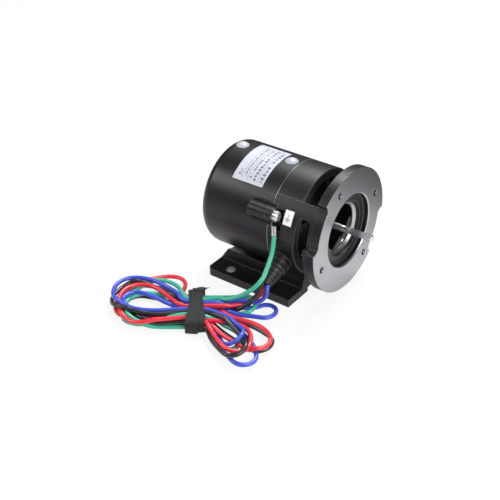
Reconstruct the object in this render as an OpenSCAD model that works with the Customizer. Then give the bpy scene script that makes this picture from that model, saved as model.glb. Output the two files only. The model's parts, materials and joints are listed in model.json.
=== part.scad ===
// Pump motor with a cast front bracket, a drive shaft and four coiled leads.
// +X is the way the shaft points, +Z is up. The origin is the middle of the four
// foot holes, on the face that the foot stands on.

/* [Motor body] */
// Height of the shaft's axis over the underside of the foot
shaft_h = 50; // [48:0.5:60]
// Outer radius of the round housing and of the bracket's ring
body_r = 40; // [38:0.5:41]
// Wall of the drawn housing
housing_wall = 2.5; // [1.5:0.1:3]
// Thickness of the housing's closed rear wall
rear_wall = 3.5; // [2.5:0.1:5]
// Radius of the rounded rear edge
rear_round = 8; // [4:0.5:9]
// Place of the housing's rear face along the shaft
housing_rear_x = -41; // [-46:0.5:-41]
// Place of the joint between the housing and the bracket
joint_x = 20; // [19:0.5:22]

/* [Front bracket] */
// Place of the ring's front edge
ring_front_x = 42; // [40:0.5:44]
// Place of the machined flange face
face_x = 63; // [61:0.5:66]
// Thickness of the flange
flange_t = 7; // [6:0.5:9]
// Radius of the flange's two lobes
lobe_r = 46.5; // [45:0.5:48]
// How far the arms stand out from the ring
arm_rise = 1; // [0.5:0.1:2]
// Angle between one end of a lobe and the other
lobe_angle = 137; // [130:1:140]
// Turn of the flange and its arms from upright
flange_tilt = 25; // [20:1:30]
// Radial thickness of the two arms and the ring
ring_wall = 6; // [4.5:0.5:7]
// Radius of the register bore in the flange
register_r = 27.3; // [26:0.1:28]
// Depth of the register bore
register_depth = 4.2; // [3:0.1:5]
// Radius of the second step in the flange
step_r = 20.8; // [20.2:0.1:23]
// Depth of the second step below the register
step_depth = 2; // [1:0.1:2.5]
// Radius of the hole through the flange's web
web_hole_r = 17.5; // [16:0.1:19]
// Thickness of the web behind the second step
web_t = 3; // [2:0.1:4]
// Radius of the circle that the flange's screw holes lie on
flange_bolt_r = 37.7; // [36:0.1:39]
// Radius of a screw hole in the flange
flange_hole_r = 2; // [1.5:0.1:2.5]
// Thickness of the bracket's end wall
end_wall = 4; // [3:0.5:5]

/* [Foot] */
// Length of the foot along the shaft
foot_len = 73; // [70:0.5:76]
// Width of the foot
foot_w = 88; // [84:1:94]
// Thickness of the foot's plate
foot_t = 6; // [5:0.5:8]
// Width of the rib under the motor
rib_w = 53; // [48:1:56]
// Gap between the rib's saddle and the housing
saddle_gap = 3.6; // [2:0.1:4.5]
// Width of the relief under the middle of the foot
relief_w = 38; // [30:1:42]
// Height of the relief under the foot
relief_h = 3.5; // [2:0.1:4.5]
// Distance between the foot holes along the shaft
hole_pitch_x = 30; // [26:0.5:34]
// Distance between the foot holes across the shaft
hole_pitch_y = 73; // [70:0.5:75]
// Radius of a foot hole
foot_hole_r = 3.6; // [2.5:0.1:4]
// Radius of the foot's rear corners
foot_corner_r = 4; // [2:0.5:6]

/* [Shaft and bearings] */
// Radius of the free end of the shaft
shaft_end_r = 2.5; // [2:0.1:3]
// Length of the shaft in front of the flange face
shaft_out = 19; // [15:0.5:24]
// Depth of the flat on the shaft
flat_depth = 0.5; // [0.3:0.1:0.5]
// Radius of the shaft in its bearings
journal_r = 4; // [3.6:0.1:4.2]
// Radius of the shaft under the rotor
rotor_seat_r = 5; // [4.6:0.1:6]
// Outer radius of a bearing
bearing_r = 11; // [10.6:0.1:11.4]
// Width of a bearing
bearing_w = 7; // [6.5:0.1:7.5]
// Radius of a bearing's balls
ball_r = 1.9; // [1.6:0.1:2]
// Number of balls in a bearing
ball_count = 7; // [6:1:8]

/* [Stator and rotor] */
// Length of the stator's and the rotor's stacks
stack_len = 34; // [28:1:36]
// Place of the middle of the stacks
stack_mid_x = -9; // [-10:0.5:-8]
// Radius of the stator's bore
stator_bore_r = 21; // [20:0.1:23]
// Gap between rotor and stator
air_gap = 0.4; // [0.3:0.05:0.6]
// Number of stator slots
slot_count = 12; // [8:1:16]
// Radius of a stator slot's round bottom
slot_r = 3.2; // [2.6:0.1:3.4]
// Height of the coil ends beyond the stack
coil_end = 5.5; // [4:0.5:6]
// Number of rotor bars
bar_count = 16; // [12:1:20]
// Radius of a rotor bar
bar_r = 1.6; // [1.2:0.1:1.8]
// Thickness of the rotor's end rings
end_ring_t = 3.5; // [2.5:0.5:4]

/* [Lugs and screws] */
// How far outside the housing's surface the case screws lie
lug_out = 2; // [1:0.5:3]
// Radius of a lug's round side
lug_round = 5.2; // [4.6:0.1:5.6]
// Turn of the near lug from upright, towards +Y
lug_angle = -65; // [-67:1:-63]
// Length of the housing's half of a lug
lug_len = 15; // [12:0.5:18]
// Length of the bracket's half of a lug
lug_front_len = 5; // [4:0.5:6]
// Radius of a case screw
screw_r = 2; // [1.6:0.1:2.2]
// Radius of a case screw's head
screw_head_r = 4; // [3.6:0.1:4.4]
// Height of a case screw's head
screw_head_h = 2.6; // [2:0.1:3]
// Length of a case screw under its head
screw_len = 16; // [12:0.5:18]

/* [Small pieces] */
// Radius of a hole plug's domed head
plug_head_r = 4.9; // [4.2:0.1:5.6]
// Height of a plug's dome
plug_dome = 2.2; // [1.6:0.1:2.6]
// Radius of a plug's stem
plug_stem_r = 3.4; // [2.8:0.1:3.8]
// Place of the rear plug along the shaft
plug_rear_x = -29.7; // [-31:0.1:-27]
// Place of the front plug along the shaft
plug_front_x = 13.3; // [11:0.1:14]
// Thickness of the label and the sticker
label_t = 0.2; // [0.1:0.05:0.3]
// Place of the rating label's rear edge along the shaft
label_rear_x = -18.7; // [-20:0.1:-17]
// Length of the rating label along the shaft
label_len = 25.8; // [22:0.1:26]
// Angle from upright to the label's edge on the near side
label_near_angle = 43.5; // [38:0.5:48]
// Angle from upright to the label's edge on the far side
label_far_angle = 14; // [8:0.5:18]
// Length of the sticker along the shaft
sticker_len = 6.8; // [5:0.1:8]
// Angle that the sticker spans round the ring
sticker_arc = 15; // [12:0.5:18]
// Radius of the ring terminal's crimped barrel
barrel_r = 1.9; // [1.7:0.1:2]
// Length of the ring terminal's crimped barrel
barrel_len = 6.8; // [5:0.1:8]
// Radius of the strain relief's collar
collar_r = 8.4; // [7.6:0.1:9]
// Radius of the strain relief's tip
relief_tip_r = 4.4; // [4.1:0.1:5]
// Length of the strain relief outside the bracket
relief_len = 18.5; // [18.5:0.5:21]
// Place of the strain relief along the shaft
relief_x = 29.5; // [29:0.5:31]
// Turn of the strain relief from upright, towards +Y
relief_angle = -117; // [-120:1:-114]

/* [Leads] */
// Diameter of a lead
lead_d = 3.2; // [2.4:0.1:3.4]
// Height of the hank of leads
hank_h = 10; // [8:0.5:11]
// Thickness of the hank's tie
tie_t = 1.2; // [0.8:0.1:1.4]
// Width of the hank's tie
tie_w = 13; // [10:1:16]

/* [Hidden] */
$fn = 64;

// Clearance between pieces that are seated in one another
seat = 0.1;
// Overlap of shapes that are joined, and overrun of cuts
lap = 0.5;
housing_in_r = body_r - housing_wall;
ring_in_r = body_r - ring_wall;
arm_r = body_r + arm_rise;
arm_half = 90 - lobe_angle / 2;
flange_rear_x = face_x - flange_t;
web_rear_x = face_x - register_depth - step_depth - web_t;
foot_rear_x = ring_front_x - foot_len;
front_bearing_x = joint_x + 1.2 - bearing_w;
bearing_front_x = front_bearing_x + bearing_w;
end_wall_front_x = bearing_front_x + end_wall;
wave_gap = 1.2;
rear_bearing_x = housing_rear_x + rear_wall + wave_gap;
stack_rear_x = stack_mid_x - stack_len / 2;
stack_front_x = stack_mid_x + stack_len / 2;
lug_r = body_r + lug_out;
lug_front_x = joint_x + lug_front_len;
eye_r = screw_head_r + 0.4;
pocket_len = 6.5;
sticker_gap = 7.2;
lip_t = 2.5;
window_corner = 3;
joint_gap = 0.15;
panel_r = arm_r - 0.3;
washer_t = 0.8;
terminal_t = 0.8;
bearing_boss_wall = 3;
spigot_len = 4;
spigot_wall = 2.4;
slot_mid_r = stator_bore_r + slot_r + 3.3;
ball_circle_r = (bearing_r + journal_r) / 2;
relief_seat_r = body_r + 3.5;
relief_stem_r = 5.8;
shaft_tip_x = face_x + shaft_out;

// Puts its children on the shaft's axis, with their own Z along +X
module on_axis() {
    translate([0, 0, shaft_h]) rotate([0, 90, 0]) children();
}

// Turns its children about the axis: an angle of 0 is upright and 90 is towards +Y
module turned(angle) {
    rotate([0, 0, 180 - angle]) children();
}

// A ring from x0 to x1 on the axis
module ring(r_in, r_out, x0, x1) {
    rotate_extrude() translate([r_in, x0]) square([r_out - r_in, x1 - x0]);
}

// A part of such a ring, between two angles from upright
module sector(r_in, r_out, x0, x1, a0, a1) {
    rotate([0, 0, 180 - a1]) rotate_extrude(angle = a1 - a0)
        translate([r_in, x0]) square([r_out - r_in, x1 - x0]);
}

// A straight rod between two points
module rod(from, to, r) {
    v = to - from;
    flat = norm([v[0], v[1]]);
    translate(from) rotate([0, atan2(flat, v[2]), atan2(v[1], v[0])]) cylinder(r = r, h = norm(v));
}

// The part of the plane within an angle of each side of a direction, for cutting
module wedge(middle, half) {
    far = 2 * body_r;
    turned(middle) polygon([[0, 0], [far * cos(half), -far * sin(half)],
        [2 * far, -far * sin(half)], [2 * far, far * sin(half)], [far * cos(half), far * sin(half)]]);
}

// Two lobes on a round plate. Each lobe's ends run down to the plate in concave corners.
module flange_plate() {
    drop = lobe_r - arm_r;
    half = lobe_angle / 2 + 57.3 * drop / lobe_r;
    translate([0, 0, flange_rear_x]) linear_extrude(flange_t) union() {
        circle(r = arm_r);
        for (side = [0, 180]) difference() {
            intersection() {
                circle(r = lobe_r);
                wedge(flange_tilt + side, half);
            }
            for (end = [-half, half]) turned(flange_tilt + side + end)
                translate([lobe_r, 0]) circle(r = drop + 0.4);
        }
    }
}

// The web with its hub, stepped bores and the bright lead-in of its hole
module flange_cuts() {
    register_x = face_x - register_depth;
    step_x = register_x - step_depth;
    lead_in = 1.75;
    rotate_extrude() polygon([[0, face_x + lap], [register_r + 0.8 + lap, face_x + lap],
        [register_r, face_x - 0.8], [register_r, register_x], [step_r, register_x],
        [step_r, step_x], [web_hole_r + lead_in, step_x], [web_hole_r, step_x - lead_in],
        [web_hole_r, web_rear_x - lap], [0, web_rear_x - lap]]);
    // The line turned into the shoulder beside the register's wall
    ring(register_r - 1.6, register_r - 1, register_x - 0.4, register_x + lap);
}

// Three of the screw holes are a quarter turn apart, and the fourth keys the pump
function flange_hole_angles() = [flange_tilt + 42.5, flange_tilt - 47.5, flange_tilt - 137.5,
    flange_tilt + 118];

module flange_holes() {
    for (a = flange_hole_angles()) {
        turned(a) translate([flange_bolt_r, 0, flange_rear_x - lap])
            cylinder(r = flange_hole_r, h = flange_t + 2 * lap);
        turned(a) translate([flange_bolt_r, 0, face_x - 0.6])
            cylinder(r1 = flange_hole_r, r2 = flange_hole_r + 0.7, h = 0.7);
    }
}

// The rounded end of the lower window, cut along a radius
module window_end(angle) {
    middle_x = (ring_front_x + 1 + flange_rear_x - lip_t) / 2;
    half_w = middle_x - ring_front_x - 1.2;
    turned(angle) translate([ring_in_r - 2, 0, middle_x]) rotate([0, 90, 0])
        linear_extrude(ring_wall + 6) union() {
            square([2 * (half_w - window_corner), 2 * window_corner], center = true);
            for (side = [-1, 1]) translate([side * (half_w - window_corner), 0])
                circle(r = window_corner);
        }
}

// Two raised panels run from the joint over the ring, and are the arms that carry the
// flange. The window between them reaches into the arms at the bottom.
module arms() {
    start_x = joint_x + 2 * joint_gap;
    reach = 96 - 57.3 * window_corner / body_r;
    difference() {
        translate([0, 0, start_x]) linear_extrude(flange_rear_x + lap - start_x) difference() {
            circle(r = panel_r);
            circle(r = ring_in_r + 1);
            for (side = [0, 180]) wedge(flange_tilt + side, 90 - arm_half);
        }
        translate([0, 0, ring_front_x + 1]) linear_extrude(flange_rear_x - lip_t - ring_front_x - 1)
            wedge(flange_tilt + 180, reach);
        for (end = [-reach, reach]) window_end(flange_tilt + 180 + end);
    }
}

// The lower lobe is deeper than the upper one and has small ribs at its two ends
module deep_lobe() {
    translate([0, 0, flange_rear_x - lip_t]) linear_extrude(lip_t + lap) difference() {
        intersection() {
            circle(r = lobe_r - 1.5);
            wedge(flange_tilt + 180, 91 - arm_half);
        }
        circle(r = register_r + 2);
    }
    for (end = [-1, 1], step = [0, 1])
        turned(flange_tilt + 180 + end * (87 - arm_half - 4.5 * step))
            translate([lobe_r - 3, -0.7, flange_rear_x - lip_t - 0.3])
                cube([2.6 - 0.5 * step, 1.4, lip_t + 0.6]);
}

// A lug's cross-section: a round nose on a base that runs into the round body
module lug_shape(grow) {
    turned(0) {
        translate([lug_r, 0]) circle(r = lug_round + grow);
        translate([body_r - 4, -lug_round - grow - 2.6]) square([4.8, 2 * (lug_round + grow) + 5.2]);
    }
}

module lug(angle, x0, x1) {
    rotate([0, 0, -angle]) translate([0, 0, x0]) linear_extrude(x1 - x0) lug_shape(0);
}

// The ring, its end wall and the seat of the front bearing
module bracket_ring() {
    boss_r = bearing_r + bearing_boss_wall;
    rotate_extrude() polygon([
        [ring_in_r, ring_front_x], [body_r - 0.8, ring_front_x], [body_r, ring_front_x - 0.8],
        [body_r, joint_x], [housing_in_r - seat, joint_x],
        [housing_in_r - seat, joint_x - spigot_len + 0.5],
        [housing_in_r - seat - 0.5, joint_x - spigot_len],
        [housing_in_r - seat - spigot_wall, joint_x - spigot_len],
        [housing_in_r - seat - spigot_wall, bearing_front_x], [boss_r, bearing_front_x],
        [boss_r, front_bearing_x], [bearing_r + seat, front_bearing_x],
        [bearing_r + seat, bearing_front_x], [bearing_r - 3, bearing_front_x],
        [bearing_r - 3, end_wall_front_x], [boss_r, end_wall_front_x],
        [boss_r + 1, end_wall_front_x - 1], [ring_in_r - 2, end_wall_front_x - 1],
        [ring_in_r, end_wall_front_x + 1]]);
}

// The foot's plate with rounded rear corners
module foot_plate() {
    half = foot_w / 2;
    c = foot_corner_r;
    difference() {
        union() {
            translate([foot_rear_x + c, -half, 0]) cube([foot_len - c, foot_w, foot_t]);
            translate([foot_rear_x, c - half, 0]) cube([c + lap, foot_w - 2 * c, foot_t]);
            for (side = [-1, 1])
                translate([foot_rear_x + c, side * (half - c), 0]) cylinder(r = c, h = foot_t);
        }
        for (x = [-1, 1], y = [-1, 1])
            translate([x * hole_pitch_x / 2, y * hole_pitch_y / 2, -lap])
                cylinder(r = foot_hole_r, h = foot_t + 2 * lap);
    }
}

// The rib under the motor: sloped sides, a saddle on top and a sloped rear end
module foot_rib() {
    half = rib_w / 2;
    rib_top = shaft_h - 28;
    cut_h = rib_top - foot_t + lap;
    difference() {
        translate([foot_rear_x, 0, 0]) rotate([90, 0, 90]) linear_extrude(foot_len)
            polygon([[-half, foot_t - lap], [half, foot_t - lap], [half - 1, foot_t + 4.6],
                [half - 2.5, foot_t + 8], [half - 2.5, rib_top], [2.5 - half, rib_top],
                [2.5 - half, foot_t + 8], [1 - half, foot_t + 4.6]]);
        on_axis() translate([0, 0, foot_rear_x - lap])
            cylinder(r = body_r + saddle_gap, h = joint_x - foot_rear_x + lap + 1.5, $fn = 96);
        translate([foot_rear_x, foot_w / 2, foot_t]) rotate([90, 0, 0]) linear_extrude(foot_w)
            polygon([[-lap, -0.01], [0, 0], [7, 12], [7, cut_h], [-lap, cut_h]]);
    }
}

// The bracket is one casting: foot, ring, end wall, arms, flange and lug
module front_bracket() {
    color("#1d1d1f") difference() {
        union() {
            on_axis() difference() {
                union() {
                    bracket_ring();
                    flange_plate();
                    arms();
                    deep_lobe();
                    ring(web_hole_r - lap, register_r + 3.5, web_rear_x, flange_rear_x + lap);
                    for (side = [0, 180]) lug(lug_angle + side, joint_x + joint_gap, lug_front_x);
                    // The boss that the strain relief sits in
                    translate([0, 0, relief_x]) turned(relief_angle) rotate([0, 90, 0])
                        translate([0, 0, ring_in_r + 1]) cylinder(r = collar_r, h = relief_seat_r - ring_in_r - 1);
                }
                flange_cuts();
                flange_holes();
                for (side = [0, 180]) turned(lug_angle + side)
                    translate([lug_r, 0, joint_x - lap])
                        cylinder(r = screw_r + 0.25, h = lug_front_len + 2 * lap);
            }
            foot_plate();
            difference() {
                foot_rib();
                on_axis() translate([0, 0, joint_x + 1])
                    cylinder(r = ring_in_r + 2, h = ring_front_x - joint_x);
            }
        }
        translate([foot_rear_x - lap, -relief_w / 2, -lap])
            cube([foot_len + 2 * lap, relief_w, relief_h + lap]);
        // Room for the screw heads in front of the lugs
        on_axis() for (side = [0, 180])
            turned(lug_angle + side) translate([lug_r, 0, lug_front_x])
                cylinder(r = screw_head_r + 1.6, h = pocket_len);
        // Room for the neck and the barrel of the ring terminal
        translate([lug_front_x + 0.05, screw_y - 12, screw_z - 10]) cube([pocket_len - 0.3, 14, 10]);
        on_axis() translate([0, 0, relief_x]) turned(relief_angle) rotate([0, 90, 0])
            translate([0, 0, ring_in_r - 4]) cylinder(r = relief_stem_r + seat, h = relief_seat_r);
    }
}

// The housing is a drawn cup with a bearing pocket, two plug holes and two lug halves
module motor_housing() {
    inner_x = housing_rear_x + rear_wall;
    pocket_r = bearing_r + seat;
    pocket_end = rear_bearing_x + bearing_w;
    in_round = rear_round - housing_wall;
    color("#232325") difference() {
        union() {
            on_axis() rotate_extrude() difference() {
                union() {
                    translate([0, housing_rear_x]) square([body_r - rear_round, rear_wall]);
                    translate([body_r - housing_wall, housing_rear_x + rear_round])
                        square([housing_wall, joint_x - housing_rear_x - rear_round]);
                    intersection() {
                        translate([body_r - rear_round, housing_rear_x + rear_round])
                            circle(r = rear_round);
                        translate([body_r - rear_round, housing_rear_x])
                            square([rear_round, rear_round]);
                    }
                    translate([pocket_r, inner_x - lap])
                        square([bearing_boss_wall, pocket_end - inner_x + lap]);
                }
                translate([body_r - rear_round, housing_rear_x + rear_round]) circle(r = in_round);
                translate([body_r - rear_round - lap, inner_x + in_round - 1.5])
                    square([rear_round - housing_wall + lap, joint_x - inner_x]);
            }
            on_axis() difference() {
                for (side = [0, 180]) {
                    lug(lug_angle + side, joint_x - lug_len, joint_x - joint_gap);
                    // The pad above the lug, in line with the bracket's raised panel
                    turned(lug_angle + side + 15) translate([body_r - 2, -2.5, joint_x - 13.5])
                        cube([2.8, 5, 13.5 - joint_gap]);
                }
                translate([0, 0, joint_x - lug_len - lap])
                    cylinder(r = housing_in_r + 1, h = lug_len + 2 * lap);
            }
        }
        on_axis() for (side = [0, 180]) turned(lug_angle + side)
            translate([lug_r, 0, joint_x - lug_len + 2])
                cylinder(r = screw_r + seat / 2, h = lug_len);
        for (x = [plug_rear_x, plug_front_x])
            translate([x, 0, shaft_h + body_r - housing_wall - 2])
                cylinder(r = plug_stem_r + seat, h = housing_wall + 4);
    }
}

// The stator's stack has round slots with narrow mouths
module stator_core() {
    color("#8d9094") on_axis() translate([0, 0, stack_rear_x]) linear_extrude(stack_len)
        difference() {
            circle(r = housing_in_r - seat);
            circle(r = stator_bore_r);
            for (i = [0:slot_count - 1]) rotate(i * 360 / slot_count) {
                translate([slot_mid_r, 0]) circle(r = slot_r);
                translate([stator_bore_r - lap, -0.8]) square([slot_mid_r - stator_bore_r, 1.6]);
            }
        }
}

// The winding fills the slots and stands out at both ends of the stack
module stator_winding() {
    side_r = slot_r - seat;
    color("#b5632c") on_axis() {
        for (i = [0:slot_count - 1]) rotate(i * 360 / slot_count)
            translate([slot_mid_r, 0, stack_rear_x - 1])
                cylinder(r = side_r, h = stack_len + 2, $fn = 24);
        for (x = [stack_rear_x - coil_end, stack_front_x + seat])
            rotate_extrude() translate([slot_mid_r - side_r - 0.8, x])
                square([2 * side_r + 1.6, coil_end - seat]);
    }
}

module rotor_core() {
    rotor_r = stator_bore_r - air_gap;
    color("#7d8084") on_axis() translate([0, 0, stack_rear_x]) linear_extrude(stack_len)
        difference() {
            circle(r = rotor_r);
            circle(r = rotor_seat_r + seat / 2);
            for (i = [0:bar_count - 1]) rotate(i * 360 / bar_count)
                translate([rotor_r - bar_r - 1, 0]) circle(r = bar_r);
        }
}

// The cast cage: bars through the rotor and a ring at each end
module rotor_cage() {
    bar_circle_r = stator_bore_r - air_gap - bar_r - 1;
    color("#c3c6ca") on_axis() {
        for (i = [0:bar_count - 1]) rotate(i * 360 / bar_count)
            translate([bar_circle_r, 0, stack_rear_x - 1])
                cylinder(r = bar_r - seat / 2, h = stack_len + 2, $fn = 24);
        for (x = [stack_rear_x - end_ring_t, stack_front_x + seat])
            ring(bar_circle_r - 3, bar_circle_r + bar_r + 0.6, x, x + end_ring_t - seat);
    }
}

// The shaft has a seat for the rotor, two journals, a circlip groove and a flat
module shaft() {
    flat_start = face_x + 0.5;
    groove_x = bearing_front_x + seat;
    color("#c9ccd1") difference() {
        on_axis() rotate_extrude() polygon([[0, rear_bearing_x - 0.4],
            [journal_r - 0.5, rear_bearing_x - 0.4], [journal_r, rear_bearing_x + 0.1],
            [journal_r, rear_bearing_x + bearing_w], [rotor_seat_r, rear_bearing_x + bearing_w],
            [rotor_seat_r, front_bearing_x], [journal_r, front_bearing_x], [journal_r, groove_x],
            [journal_r - 0.5, groove_x], [journal_r - 0.5, groove_x + 1],
            [journal_r, groove_x + 1], [journal_r, groove_x + 2.5],
            [shaft_end_r, groove_x + 2.5], [shaft_end_r, shaft_tip_x - 1],
            [shaft_end_r - 0.7, shaft_tip_x], [0, shaft_tip_x]]);
        on_axis() turned(-35) translate([shaft_end_r - flat_depth, -shaft_end_r, flat_start])
            cube([shaft_end_r, 2 * shaft_end_r, shaft_out]);
    }
}

module bearing_outer(x) {
    color("#b9bcc0") on_axis() rotate_extrude() difference() {
        translate([ball_circle_r + 1.2, x]) square([bearing_r - ball_circle_r - 1.2, bearing_w]);
        translate([ball_circle_r, x + bearing_w / 2]) circle(r = ball_r + seat);
    }
}

module bearing_inner(x) {
    color("#b9bcc0") on_axis() rotate_extrude() difference() {
        translate([journal_r + 0.02, x]) square([ball_circle_r - 1.2 - journal_r, bearing_w]);
        translate([ball_circle_r, x + bearing_w / 2]) circle(r = ball_r + 2 * seat);
    }
}

module bearing_balls(x) {
    color("#d5d7da") on_axis() for (i = [0:ball_count - 1]) rotate(i * 360 / ball_count)
        translate([ball_circle_r, 0, x + bearing_w / 2]) sphere(r = ball_r, $fn = 20);
}

module front_bearing_outer() { bearing_outer(front_bearing_x); }
module front_bearing_inner() { bearing_inner(front_bearing_x); }
module front_bearing_balls() { bearing_balls(front_bearing_x); }
module rear_bearing_outer() { bearing_outer(rear_bearing_x); }
module rear_bearing_inner() { bearing_inner(rear_bearing_x); }
module rear_bearing_balls() { bearing_balls(rear_bearing_x); }

// The spring washer that takes up the play behind the rear bearing
module wave_washer() {
    color("#a9acb0") on_axis()
        ring(bearing_r - 2.2, bearing_r - 0.3, rear_bearing_x - wave_gap + seat, rear_bearing_x - seat);
}

// The circlip in its groove in front of the front bearing
module shaft_circlip() {
    x = bearing_front_x + seat;
    color("#6f7276") on_axis() difference() {
        ring(journal_r - 0.45, journal_r + 1.6, x + seat, x + 0.9);
        turned(180) translate([2, -1.5, x]) cube([8, 3, 1]);
    }
}

// A pan head with crossed slots on a plain shank
module pan_screw(angle, x) {
    slot = 0.9;
    color("#d0d2d5") on_axis() turned(angle) translate([lug_r, 0, 0]) difference() {
        rotate_extrude() polygon([[0, x - screw_len], [screw_r - 0.4, x - screw_len],
            [screw_r, x - screw_len + 0.4], [screw_r, x], [screw_head_r, x],
            [screw_head_r, x + screw_head_h * 0.5], [screw_head_r - 0.5, x + screw_head_h * 0.8],
            [screw_head_r - 1.3, x + screw_head_h], [0, x + screw_head_h]]);
        for (turn = [20, 110]) rotate([0, 0, turn])
            translate([-2.2, -slot / 2, x + screw_head_h - 1.3]) cube([4.4, slot, 1.4]);
    }
}

module lock_washer(angle, x) {
    color("#b4b7bb") on_axis() turned(angle) translate([lug_r, 0, 0]) difference() {
        ring(screw_r + seat, screw_head_r - 0.3, x, x + washer_t - seat / 2);
        translate([screw_r - 0.5, -0.4, x - lap]) cube([4, 0.8, 2]);
    }
}

ground_washer_x = lug_front_x + terminal_t;
module ground_screw() { pan_screw(lug_angle, ground_washer_x + washer_t); }
module ground_washer() { lock_washer(lug_angle, ground_washer_x); }
module case_screw() { pan_screw(lug_angle + 180, lug_front_x + washer_t); }
module case_washer() { lock_washer(lug_angle + 180, lug_front_x + seat / 2); }

// The screw's centre, from which the ring terminal's barrel hangs down
screw_y = lug_r * sin(lug_angle);
screw_z = shaft_h + lug_r * cos(lug_angle);
barrel_top = [lug_front_x + terminal_t + 1.5, screw_y - 3.1, screw_z - eye_r - 1.6];
barrel_end = barrel_top + barrel_len * unit([0.2, -0.26, -1]);

// The ring terminal: an eye under the washer, a neck and a crimped barrel
module ground_terminal() {
    color("#d8dadd") union() {
        translate([lug_front_x + seat, screw_y, screw_z]) rotate([0, 90, 0]) difference() {
            union() {
                cylinder(r = eye_r, h = terminal_t - seat - 0.02);
                rotate([0, 0, -25]) translate([0, -1.5, 0]) cube([eye_r + 3.8, 3, terminal_t - seat - 0.02]);
            }
            translate([0, 0, -lap]) cylinder(r = screw_r + 0.15, h = terminal_t + 2 * lap);
        }
        rod(barrel_top, barrel_end, barrel_r);
    }
}

// Domed plugs close two holes along the top of the housing
module hole_plugs() {
    top_z = shaft_h + body_r;
    dome_r = (plug_head_r * plug_head_r + plug_dome * plug_dome) / (2 * plug_dome);
    color("#eceef0") for (x = [plug_rear_x, plug_front_x]) translate([x, 0, 0]) {
        difference() {
            intersection() {
                translate([0, 0, top_z + plug_dome - dome_r]) sphere(r = dome_r, $fn = 64);
                translate([0, 0, top_z - 0.6]) cylinder(r = plug_head_r, h = 4);
            }
            translate([-plug_head_r - lap, 0, shaft_h]) rotate([0, 90, 0])
                cylinder(r = body_r + 0.05, h = 2 * (plug_head_r + lap), $fn = 128);
        }
        translate([0, 0, top_z - housing_wall + seat])
            cylinder(r = plug_stem_r, h = housing_wall - seat + 0.6);
    }
}

module rating_label() {
    color("#e6e8ec") on_axis() sector(body_r + 0.05, body_r + 0.05 + label_t,
        label_rear_x, label_rear_x + label_len, -label_near_angle, label_far_angle);
}

module ground_sticker() {
    color("#f2f2f2") on_axis() sector(panel_r + 0.05, panel_r + 0.05 + label_t,
        lug_front_x + sticker_gap, lug_front_x + sticker_gap + sticker_len,
        lug_angle + 2 - sticker_arc / 2, lug_angle + 2 + sticker_arc / 2);
}

// The rubber bush: a stem in the bracket, a grooved collar and a ribbed taper
module strain_relief() {
    tip = relief_seat_r + relief_len;
    taper = relief_seat_r + 7.5;
    color("#2a2a2c") on_axis() translate([0, 0, relief_x]) turned(relief_angle)
        rotate([0, 90, 0]) rotate_extrude() {
            polygon([[0, ring_in_r - 1], [relief_stem_r, ring_in_r - 1],
                [relief_stem_r, relief_seat_r + 0.02], [collar_r, relief_seat_r + 0.02],
                [collar_r, relief_seat_r + 2], [collar_r - 1.4, relief_seat_r + 2.4],
                [collar_r - 1.4, relief_seat_r + 3.4], [collar_r - 0.4, relief_seat_r + 3.8],
                [collar_r - 0.6, relief_seat_r + 5.2], [collar_r - 2.2, relief_seat_r + 5.8],
                [collar_r - 2.6, taper], [relief_tip_r - 0.6, tip], [0, tip]]);
            for (i = [0:3]) {
                along = taper + 0.3 + i * 2.7;
                rib_r = collar_r - 1.9 + (relief_tip_r - collar_r + 2.2) * (i / 3.4);
                translate([0, along]) square([rib_r, 1.5]);
            }
        }
}

// The leads' routes, from where each leaves the object to where it enters the hank
relief_dir = [0, sin(relief_angle), cos(relief_angle)];
relief_tip = [relief_x, 0, shaft_h] + (relief_seat_r + relief_len) * relief_dir;
relief_down = [0, -cos(relief_angle), sin(relief_angle)];
green_route = [barrel_end, [28.5, -44.8, 44], [29.6, -49.4, 39], [30.2, -54.2, 34.2],
    [30.6, -58.6, 30.2], [29.4, -62.2, 26.8], [25.7, -65.4, 21.6], [20.4, -68.6, 17],
    [15.3, -71.8, 13.8], [9.3, -75.9, 12], [4.5, -79.5, 10]];
blue_route = [relief_tip + [2.2, 0, 0], [32.8, -58, 17], [32.6, -60.5, 12.2], [30.6, -62.5, 8.5]];
red_route = [relief_tip + [-1.1, 0, 0] + 1.9 * relief_down, [28.3, -57, 15.5], [27.5, -59.3, 11],
    [24.5, -61.5, 7]];
black_route = [relief_tip + [-1.1, 0, 0] - 1.9 * relief_down, [28, -59.4, 18.8],
    [26.5, -62.6, 13.8], [23, -64.6, 9.6], [20, -65.5, 7]];

// A smooth point between the second and third of four route points
function smooth(a, b, c, d, t) = 0.5 * ((2 * b) + (c - a) * t
    + (2 * a - 5 * b + 4 * c - d) * t * t + (3 * b - a - 3 * c + d) * t * t * t);
function route_point(route, i) = route[max(0, min(len(route) - 1, i))];
function swept(route, per) = [for (i = [0:len(route) - 2], k = [0:per - 1])
    smooth(route_point(route, i - 1), route[i], route[i + 1], route_point(route, i + 2), k / per),
    route[len(route) - 1]];
function unit(v) = v / norm(v);

// A round tube along a route: one closed polyhedron
module lead(route) {
    sides = 8;
    path = swept(route, 2);
    n = len(path);
    along = [for (i = [0:n - 1]) unit(path[min(n - 1, i + 1)] - path[max(0, i - 1)])];
    points = [for (i = [0:n - 1], k = [0:sides - 1])
        let (across = unit(cross(along[i], [0.9, 0.1, 0.4])), over = cross(along[i], across),
            a = 360 * k / sides)
        path[i] + lead_d / 2 * (cos(a) * across + sin(a) * over)];
    faces = concat([[for (k = [0:sides - 1]) sides - 1 - k]],
        [[for (k = [0:sides - 1]) (n - 1) * sides + k]],
        [for (i = [0:n - 2], k = [0:sides - 1])
            [i * sides + k, i * sides + (k + 1) % sides, (i + 1) * sides + (k + 1) % sides,
                (i + 1) * sides + k]]);
    polyhedron(points, faces, convexity = 4);
}

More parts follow.
